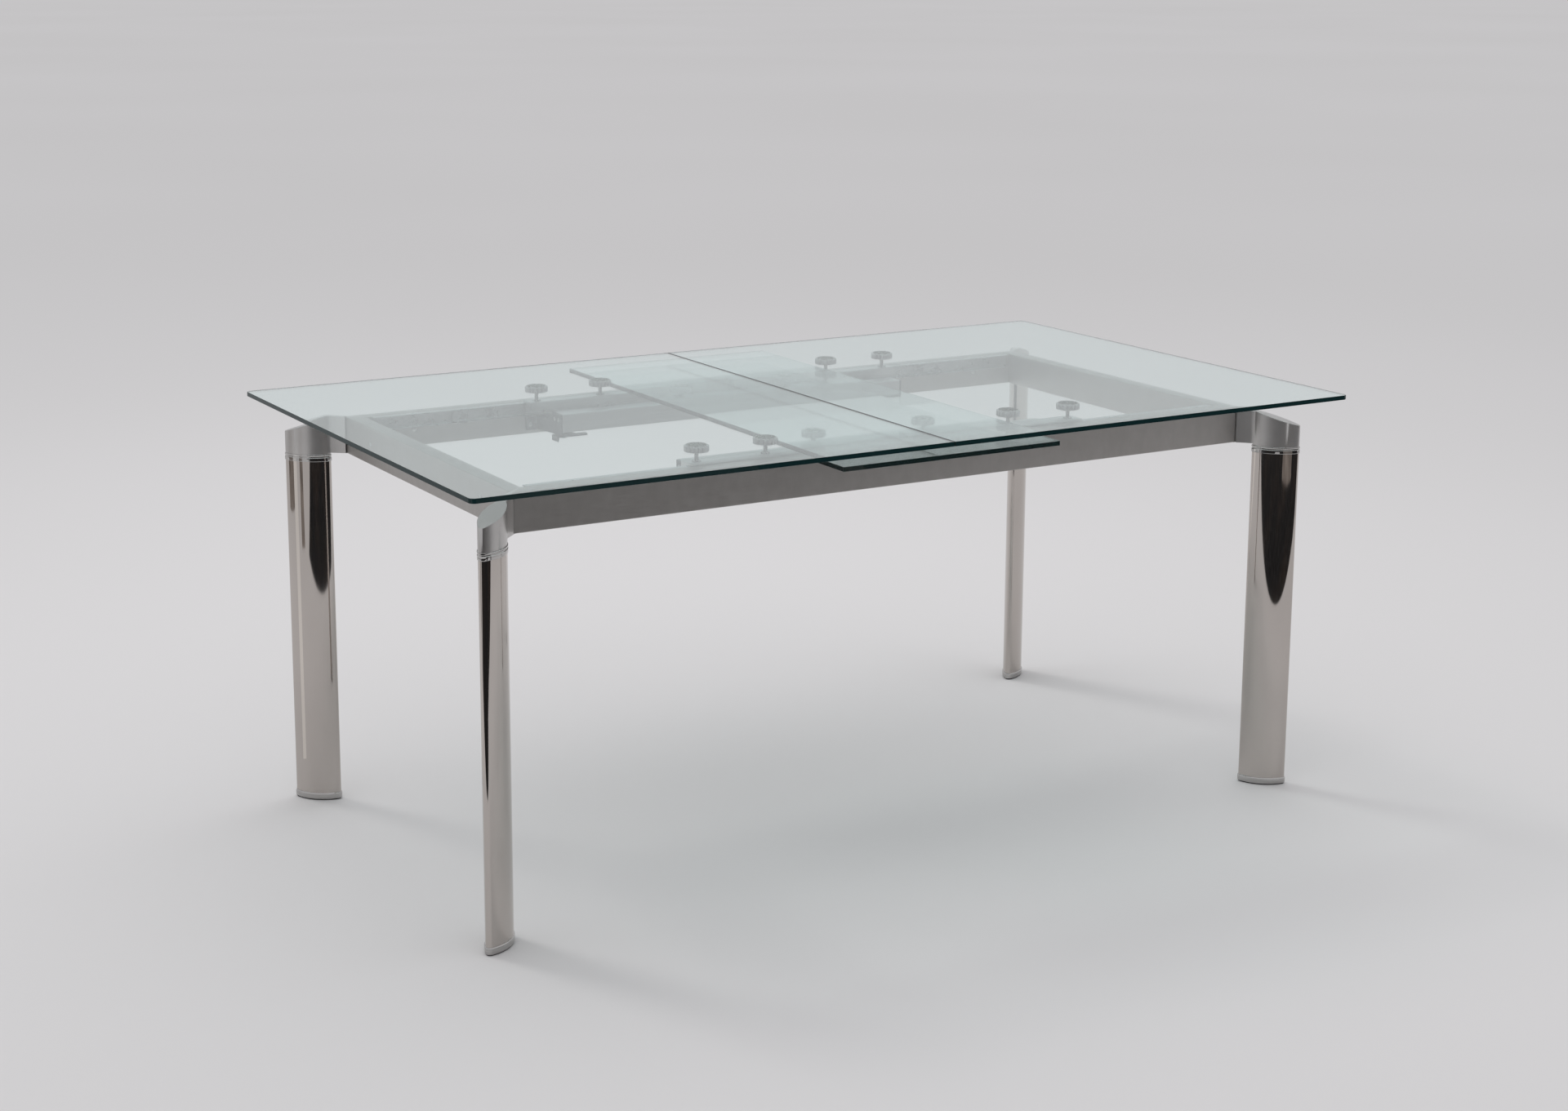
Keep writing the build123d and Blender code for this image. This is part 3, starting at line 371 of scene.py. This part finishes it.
# ---- mesh helpers --------------------------------------------------------------------
def finish_piece(name, mesh_data, node, *extra_materials):
    """Makes the object of a mesh that stands for a CAD node, and rides with that node's body."""
    mesh = bpy.data.meshes.new(name)
    mesh_data.to_mesh(mesh)
    mesh_data.free()
    for polygon in mesh.polygons:
        polygon.use_smooth = True
    mesh.set_sharp_from_angle(angle=SMOOTH_ANGLE)
    piece = bpy.data.objects.new(name, mesh)
    bpy.context.scene.collection.objects.link(piece)
    mesh.materials.append(MATERIALS[SLOT_OF[node]])
    for material in extra_materials:
        mesh.materials.append(material)
    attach(piece, BODY_OF[node])
    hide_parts(node)
    return piece


def loft(mesh_data, rings):
    """Joins rings of equal length into a skin, and caps its two ends."""
    loops = [[mesh_data.verts.new(point) for point in ring] for ring in rings]
    for lower, upper in zip(loops, loops[1:]):
        for i in range(len(lower)):
            j = (i + 1) % len(lower)
            mesh_data.faces.new((lower[i], lower[j], upper[j], upper[i]))
    mesh_data.faces.new(list(reversed(loops[0])))
    mesh_data.faces.new(loops[-1])


def islands(node):
    """Boxes (low, high) of the separate solids of a CAD node."""
    mesh_data = bmesh.new()
    mesh_data.from_mesh(frame["nodes"][node].data)
    bmesh.ops.remove_doubles(mesh_data, verts=mesh_data.verts, dist=WELD)
    left = set(mesh_data.verts)
    boxes = []
    while left:
        todo, found = [left.pop()], []
        while todo:
            vertex = todo.pop()
            found.append(vertex.co.copy())
            for edge in vertex.link_edges:
                other = edge.other_vert(vertex)
                if other in left:
                    left.remove(other)
                    todo.append(other)
        low = Vector(min(point[k] for point in found) for k in range(3))
        high = Vector(max(point[k] for point in found) for k in range(3))
        boxes.append((low, high))
    mesh_data.free()
    return sorted(boxes, key=lambda box: tuple(round(value, 4) for value in box[0]))


def softened(node, width=EDGE_BEVEL):
    """The CAD node's own shape with its hard edges rounded."""
    mesh_data = bmesh.new()
    mesh_data.from_mesh(frame["nodes"][node].data)
    bmesh.ops.remove_doubles(mesh_data, verts=mesh_data.verts, dist=WELD)
    bmesh.ops.dissolve_limit(
        mesh_data, angle_limit=FLAT_ANGLE, verts=mesh_data.verts, edges=mesh_data.edges
    )
    piece = finish_piece(f"soft_{node}", mesh_data, node)
    bevel = piece.modifiers.new("bevel", "BEVEL")
    bevel.width = width
    bevel.segments = 2
    bevel.limit_method = "ANGLE"
    bevel.angle_limit = BEVEL_ANGLE
    bevel.use_clamp_overlap = True
    bevel.harden_normals = True


# ---- glass ---------------------------------------------------------------------------
def rounded_outline(low, high, radii, inset, z):
    """Points round a rectangle whose four corners have their own radii, from the low corner."""
    corners = (
        (low.x, low.y, 180, radii[0]),
        (high.x, low.y, 270, radii[1]),
        (high.x, high.y, 0, radii[2]),
        (low.x, high.y, 90, radii[3]),
    )
    points = []
    for x, y, start, radius in corners:
        centre_x = x + (radius if x == low.x else -radius)
        centre_y = y + (radius if y == low.y else -radius)
        reach = radius - inset
        for step in range(CORNER_STEPS + 1):
            angle = math.radians(start + step * 90 / CORNER_STEPS)
            points.append(Vector((
                centre_x + reach * math.cos(angle), centre_y + reach * math.sin(angle), z,
            )))
    return points


def glass_plate(node, radii, edge):
    """Plate with clear faces and polished edges, their arrises taken off."""
    low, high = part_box(node)
    levels = (
        (GLASS_ARRIS, low.z),
        (0, low.z + GLASS_ARRIS),
        (0, high.z - GLASS_ARRIS),
        (GLASS_ARRIS, high.z),
    )
    mesh_data = bmesh.new()
    loft(mesh_data, [rounded_outline(low, high, radii, inset, z) for inset, z in levels])
    mesh_data.normal_update()
    # Faces at the seam take the seam material, painted nearly black as shade; the other edges take
    # the plate's edge material.
    for face in mesh_data.faces:
        at_seam = abs(face.calc_center_median().x) < SEAM_REACH and abs(face.normal.x) > 0.5
        face.material_index = 0 if abs(face.normal.z) > 0.99 else 2 if at_seam else 1
    finish_piece(f"plate_{node}", mesh_data, node, edge, SEAM_EDGE)


glass_plate(
    "glass_top_left", (GLASS_CORNER, SQUARE_CORNER, SQUARE_CORNER, GLASS_CORNER), TOP_EDGE
)
glass_plate(
    "glass_top_right", (SQUARE_CORNER, GLASS_CORNER, GLASS_CORNER, SQUARE_CORNER), TOP_EDGE
)
glass_plate("glass_leaf", (LEAF_CORNER,) * 4, LEAF_EDGE)


# ---- legs, collars and feet ----------------------------------------------------------
def lens_ring(grow):
    """Lens outline about the origin: two wide arcs and two nose arcs, grown evenly."""
    half_long, half_short, nose = LENS_LONG + grow, LENS_SHORT + grow, LENS_NOSE + grow
    reach = half_long - nose
    side = (reach**2 + half_short**2 - nose**2) / (2 * (half_short - nose))
    slope = math.atan2(side - half_short, reach)
    half = []
    for step in range(LENS_SEGMENTS):
        angle = slope + (math.pi - 2 * slope) * step / LENS_SEGMENTS
        half.append((side * math.cos(angle), half_short - side + side * math.sin(angle)))
    for step in range(NOSE_SEGMENTS):
        angle = math.pi - slope + 2 * slope * step / NOSE_SEGMENTS
        half.append((-reach + nose * math.cos(angle), nose * math.sin(angle)))
    return half + [(-x, -y) for x, y in half]


def leg_place(corner):
    """Centre of a leg and the unit vector of its section's long axis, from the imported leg."""
    low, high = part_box(f"leg_{corner}")
    sx, sy = CORNERS[corner]
    middle = (low + high) / 2
    rail_low, rail_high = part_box("rail_left")
    corner_x = max(abs(rail_low.x), abs(rail_high.x))
    corner_y = max(abs(value.y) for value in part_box("rail_front"))
    outward = Vector((abs(middle.x) - corner_x, abs(middle.y) - corner_y)).normalized()
    return middle, Vector((sx * outward.x, sy * outward.y))


def lens_piece(name, node, corner, profile):
    """Loft of the lens section through (height, growth) steps at one leg."""
    middle, outward = leg_place(corner)
    across = Vector((-outward.y, outward.x))
    rings = []
    for z, grow in profile:
        ring = []
        for u, v in lens_ring(grow):
            spot = outward * u + across * v
            ring.append(Vector((middle.x + spot.x, middle.y + spot.y, z)))
        rings.append(ring)
    mesh_data = bmesh.new()
    loft(mesh_data, rings)
    finish_piece(name, mesh_data, node)


def heights(node):
    """Lowest and highest z of a CAD node."""
    low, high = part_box(node)
    return low.z, high.z


def leg_tube(corner):
    """Plain mirror tube of a leg."""
    low, high = heights(f"leg_{corner}")
    lens_piece(f"tube_{corner}", f"leg_{corner}", corner, [(low, 0), (high, 0)])


def collar(corner):
    """Collar of two beads with a groove between them."""
    base, top = heights("leg_collars")
    lens_piece(f"collar_{corner}", "leg_collars", corner, [
        (base, -0.2 * MM),
        (base + 0.2 * MM, 0.7 * MM),
        (base + 1.0 * MM, COLLAR_PROUD),
        (base + 6.6 * MM, COLLAR_PROUD),
        (base + 7.4 * MM, 0.7 * MM),
        (base + 7.8 * MM, 0.2 * MM),
        (base + 8.8 * MM, 0.2 * MM),
        (base + 9.2 * MM, 0.8 * MM),
        (base + 9.9 * MM, COLLAR_PROUD),
        (top - 0.9 * MM, COLLAR_PROUD),
        (top - 0.3 * MM, 0.8 * MM),
        (top, 0.1 * MM),
    ])


def foot_ring(corner):
    """Rounded ring at the foot, up to where the leg starts."""
    base = heights("foot_caps")[0]
    top = heights(f"leg_{corner}")[0]
    lens_piece(f"foot_ring_{corner}", "foot_caps", corner, [
        (base, 0.4 * MM),
        (base + 0.8 * MM, 1.2 * MM),
        (base + 1.8 * MM, FOOT_PROUD),
        (top - 2.2 * MM, FOOT_PROUD),
        (top - 0.9 * MM, 1.1 * MM),
        (top - 0.2 * MM, 0.5 * MM),
        (top, -0.2 * MM),
    ])


def foot_pad(corner):
    """Rubber pad under the foot ring."""
    base, top = heights("foot_pads")
    lens_piece(f"foot_pad_{corner}", "foot_pads", corner, [
        (base, -1.2 * MM),
        (base + 0.5 * MM, -0.5 * MM),
        (top, -0.5 * MM),
    ])


for corner_name in CORNERS:
    leg_tube(corner_name)
    collar(corner_name)
    foot_ring(corner_name)
    foot_pad(corner_name)


# ---- screws --------------------------------------------------------------------------
def screw_head(name, node, seat, outward, radius, height):
    """Domed screw head with a hex socket, seated at a point and facing outward."""
    socket = radius * SOCKET_SHARE
    steps = [
        (radius, 0),
        (radius, height * 0.35),
        (radius * 0.93, height * 0.65),
        (radius * 0.75, height * 0.92),
        (socket * 1.25, height),
        (socket * 1.12, height),
    ]
    turns = [2 * math.pi * i / SCREW_SEGMENTS for i in range(SCREW_SEGMENTS)]
    rings = [[Vector((r * math.cos(a), r * math.sin(a), z)) for a in turns] for r, z in steps]

    def hex_ring(z):
        """The same number of points round a hexagon."""
        ring = []
        for a in turns:
            inner = math.cos(math.pi / 6) / math.cos((a + math.pi / 6) % (math.pi / 3) - math.pi / 6)
            ring.append(Vector((socket * inner * math.cos(a), socket * inner * math.sin(a), z)))
        return ring

    rings += [hex_ring(height * 0.96), hex_ring(height * 0.25)]
    mesh_data = bmesh.new()
    loft(mesh_data, rings)
    turn = outward.to_track_quat("Z", "X").to_matrix().to_4x4()
    bmesh.ops.transform(mesh_data, matrix=Matrix.Translation(seat) @ turn, verts=mesh_data.verts)
    finish_piece(name, mesh_data, node)


def screws(node, head_radius, head_height):
    """One domed head on every screw of a CAD node.

    Screws along the table face its nearer end, and screws across it face its middle line.
    """
    for index, (low, high) in enumerate(islands(node)):
        middle, size = (low + high) / 2, high - low
        if size.x > size.y:
            outward = Vector((math.copysign(1, middle.x), 0, 0))
            seat = middle + outward * (size.x / 2 - head_height)
        else:
            outward = Vector((0, -math.copysign(1, middle.y), 0))
            seat = middle + outward * (size.y / 2 - head_height)
        screw_head(f"{node}_{index}", node, seat, outward, head_radius, head_height)


screws("rail_screws", *RAIL_SCREW_HEAD)
screws("slide_screws", *SMALL_SCREW_HEAD)
screws("bracket_screws", *SMALL_SCREW_HEAD)


# ---- fluted pads ---------------------------------------------------------------------
def fluted_pad(name, node, low, high):
    """Thumb-wheel disc: scalloped rim with bevelled ends and a flat top."""
    middle = (low + high) / 2
    radius = (high.x - low.x) / 2
    count = FLUTES * FLUTE_STEPS

    def rim(shrink, depth, z):
        """Scalloped ring, smaller than the disc by shrink."""
        ring = []
        for i in range(count):
            turn = 2 * math.pi * i / count
            wave = max(0.0, math.cos(FLUTES * turn)) ** 1.5
            reach = radius - shrink - depth * wave
            ring.append(Vector((
                middle.x + reach * math.cos(turn), middle.y + reach * math.sin(turn), z,
            )))
        return ring

    rings = [
        rim(radius * 0.8, 0, low.z),
        rim(PAD_BEVEL * 2.2, 0, low.z),
        rim(PAD_BEVEL, FLUTE_DEPTH * 0.6, low.z + PAD_BEVEL * 0.4),
        rim(0, FLUTE_DEPTH, low.z + PAD_BEVEL * 1.5),
        rim(0, FLUTE_DEPTH, high.z - PAD_BEVEL * 1.5),
        rim(PAD_BEVEL, FLUTE_DEPTH * 0.6, high.z - PAD_BEVEL * 0.4),
        rim(PAD_BEVEL * 2.2, 0, high.z),
        rim(radius * 0.7, 0, high.z),
    ]
    mesh_data = bmesh.new()
    loft(mesh_data, rings)
    finish_piece(name, mesh_data, node)


for pad_node in ("glass_pads_left", "glass_pads_right", "leaf_pads"):
    for index, (low, high) in enumerate(islands(pad_node)):
        fluted_pad(f"{pad_node}_{index}", pad_node, low, high)


# ---- bevelled edges on the sheet and cast parts --------------------------------------
for side in SIDES:
    softened(f"beam_brackets_{side}")
    softened(f"latch_lever_{side}")
    softened(f"leaf_beam_{side}")
for corner_name in CORNERS:
    softened(f"casting_{corner_name}", CASTING_BEVEL)
    softened(f"slide_bar_{corner_name}")
for rail in (*SIDES, *ENDS):
    softened(f"rail_{rail}", RAIL_BEVEL)


# ---- studio --------------------------------------------------------------------------
def studio_surface():
    """Pale paper floor with a barely visible cloudiness."""
    s = Surface("studio_floor", Specular_IOR_Level=0.0)
    s.ramp(s.noise(0.25, 1.0), (0.715, 0.705, 0.705), (0.73, 0.72, 0.722))
    s.rough(s.noise(60.0), 0.75, 0.9)
    return s.material


def flat_plane(name, corners, material):
    """One flat sheet through its corners."""
    mesh = bpy.data.meshes.new(name)
    mesh.from_pydata([Vector(corner) for corner in corners], [], [tuple(range(len(corners)))])
    mesh.materials.append(material)
    plane = bpy.data.objects.new(name, mesh)
    bpy.context.scene.collection.objects.link(plane)
    return plane


flat_plane(
    "floor",
    [(sx * FLOOR_HALF, sy * FLOOR_HALF, 0) for sx, sy in ((-1, -1), (1, -1), (1, 1), (-1, 1))],
    studio_surface(),
)


def dark_surface():
    """Bare floor beyond the paper for the chrome to mirror: a painted dark reflection, nearly black,
    with brownish clouds.
    """
    s = Surface("studio_dark", Specular_IOR_Level=0.1)
    s.ramp(s.noise(1.3, 3.0), (0.004, 0.004, 0.005), (0.030, 0.020, 0.015), 0.45, 0.8)
    s.rough(s.noise(9.0), 0.6, 0.9)
    return s.material


def mirror_only(sheet):
    """Hides a stage sheet from everything but reflections."""
    sheet.visible_camera = False
    sheet.visible_diffuse = False
    sheet.visible_transmission = False
    sheet.visible_volume_scatter = False
    sheet.visible_shadow = False


def towards_camera(along, across, height):
    """A point by its distance from the table's middle towards the camera, and across that."""
    yaw = math.radians(CAMERA_YAW)
    return (
        -along * math.sin(yaw) + across * math.cos(yaw),
        -along * math.cos(yaw) - across * math.sin(yaw),
        height,
    )


def ground_patch(name, outline, material, height):
    """Sheet on the ground that only reflections see, by its (along, across) corners."""
    mirror_only(flat_plane(
        name, [towards_camera(along, across, height) for along, across in outline], material
    ))


def wood_surface():
    """Brown wood, for what stands around the paper, shown only as painted reflections in the legs.
    """
    s = Surface("studio_wood")
    s.ramp(s.noise(2.2, 4.0), (0.07, 0.045, 0.03), (0.34, 0.29, 0.25))
    s.rough(s.noise(30.0), 0.3, 0.6)
    return s.material


def lit_surface():
    """Paper with painted light: brighter than the floor paper, as if brightly lit, a little cloudy.
    """
    s = Surface("studio_lit_paper")
    s.ramp(s.noise(0.5, 1.0), (0.93, 0.92, 0.90), (0.98, 0.97, 0.95))
    s.rough(s.noise(60.0), 0.75, 0.9)
    return s.material


def seen_from(corner, near, far, start, stop):
    """Outline of a sheet by its reach from a leg, and its turn right from the camera's side."""
    middle, _ = leg_place(corner)
    yaw = math.radians(CAMERA_YAW)
    along = -middle.x * math.sin(yaw) - middle.y * math.cos(yaw)
    across = middle.x * math.cos(yaw) - middle.y * math.sin(yaw)
    corners = ((near, start), (near, stop), (far, stop), (far, start))
    return [
        (along + reach * math.cos(math.radians(turn)), across + reach * math.sin(math.radians(turn)))
        for reach, turn in corners
    ]


def bare_floor_outline():
    """The slanted edge of the paper, and from there towards the camera and to the right."""
    return [
        (PAPER_EDGE - PAPER_SLANT * PAPER_SIDE, PAPER_SIDE),
        (BARE_FAR, PAPER_SIDE),
        (BARE_FAR, BARE_RIGHT),
        (PAPER_EDGE - PAPER_SLANT * BARE_RIGHT, BARE_RIGHT),
    ]


# Painted dark reflection: a nearly black sheet beyond the paper that only reflections see.
ground_patch("paper_end", bare_floor_outline(), dark_surface(), BARE_HEIGHT)
wood = wood_surface()
# Painted reflections of wood around the paper, on sheets that only reflections see.
for patch_name, place in (("light_stand", LIGHT_STAND), ("boards", BOARDS), ("stool", STOOL)):
    ground_patch(patch_name, seen_from(*place), wood, CLUTTER_HEIGHT)
# Painted light: a brighter copy of the paper, seen only in reflections.
ground_patch("lit_paper", seen_from(*LIT_PAPER), lit_surface(), CLUTTER_HEIGHT)


# ---- lamps ---------------------------------------------------------------------------
def hide_shape(lamp):
    """Keeps a lamp's own bright shape out of reflections and of the glass."""
    lamp.visible_glossy = False
    lamp.visible_transmission = False


def area_light(name, place, target, size, power, colour):
    """Rectangular lamp that looks at a target."""
    light = bpy.data.lights.new(name, "AREA")
    light.shape = "RECTANGLE"
    light.size, light.size_y = size
    light.energy = power
    light.color = colour
    return aim_lamp(name, light, place, target)


def aim_lamp(name, light, place, target):
    """Puts a light at a place, looking at a target."""
    lamp = bpy.data.objects.new(name, light)
    lamp.location = place
    lamp.rotation_euler = (Vector(target) - Vector(place)).to_track_quat("-Z", "Y").to_euler()
    bpy.context.scene.collection.objects.link(lamp)
    return lamp


key = bpy.data.lights.new("key", "SUN")
key.energy = KEY_POWER
key.angle = math.radians(KEY_ANGLE)
key.color = KEY_COLOUR
hide_shape(aim_lamp("key", key, KEY_PLACE, (0, 0, 0)))
hide_shape(area_light("fill", FILL_PLACE, FILL_TARGET, FILL_SIZE, FILL_POWER, FILL_COLOUR))
edge_strip = area_light("edge_strip", STRIP_PLACE, (0, 0, 0), STRIP_SIZE, STRIP_POWER, (1, 1, 1))
edge_strip.visible_transmission = False

world = bpy.data.worlds.new("studio")
bpy.context.scene.world = world
world.use_nodes = True
background = world.node_tree.nodes["Background"]
background.inputs["Color"].default_value = WORLD_COLOUR
background.inputs["Strength"].default_value = WORLD_POWER
bpy.context.scene.view_settings.view_transform = "Standard"

# ---- the camera itself ---------------------------------------------------------------
camera_data = bpy.data.cameras.new("camera")
camera_data.sensor_width = 36
camera_data.lens = CAMERA_LENS
camera_data.shift_y = CAMERA_SHIFT
camera = bpy.data.objects.new("camera", camera_data)
aim = Matrix.Rotation(math.radians(-CAMERA_YAW), 3, "Z")
aim = aim @ Matrix.Rotation(math.radians(90 - CAMERA_PITCH), 3, "X")
aim = aim @ Matrix.Rotation(math.radians(CAMERA_ROLL), 3, "Z")
camera.matrix_world = Matrix.Translation(CAMERA_PLACE) @ aim.to_4x4()
bpy.context.scene.collection.objects.link(camera)
bpy.context.scene.camera = camera
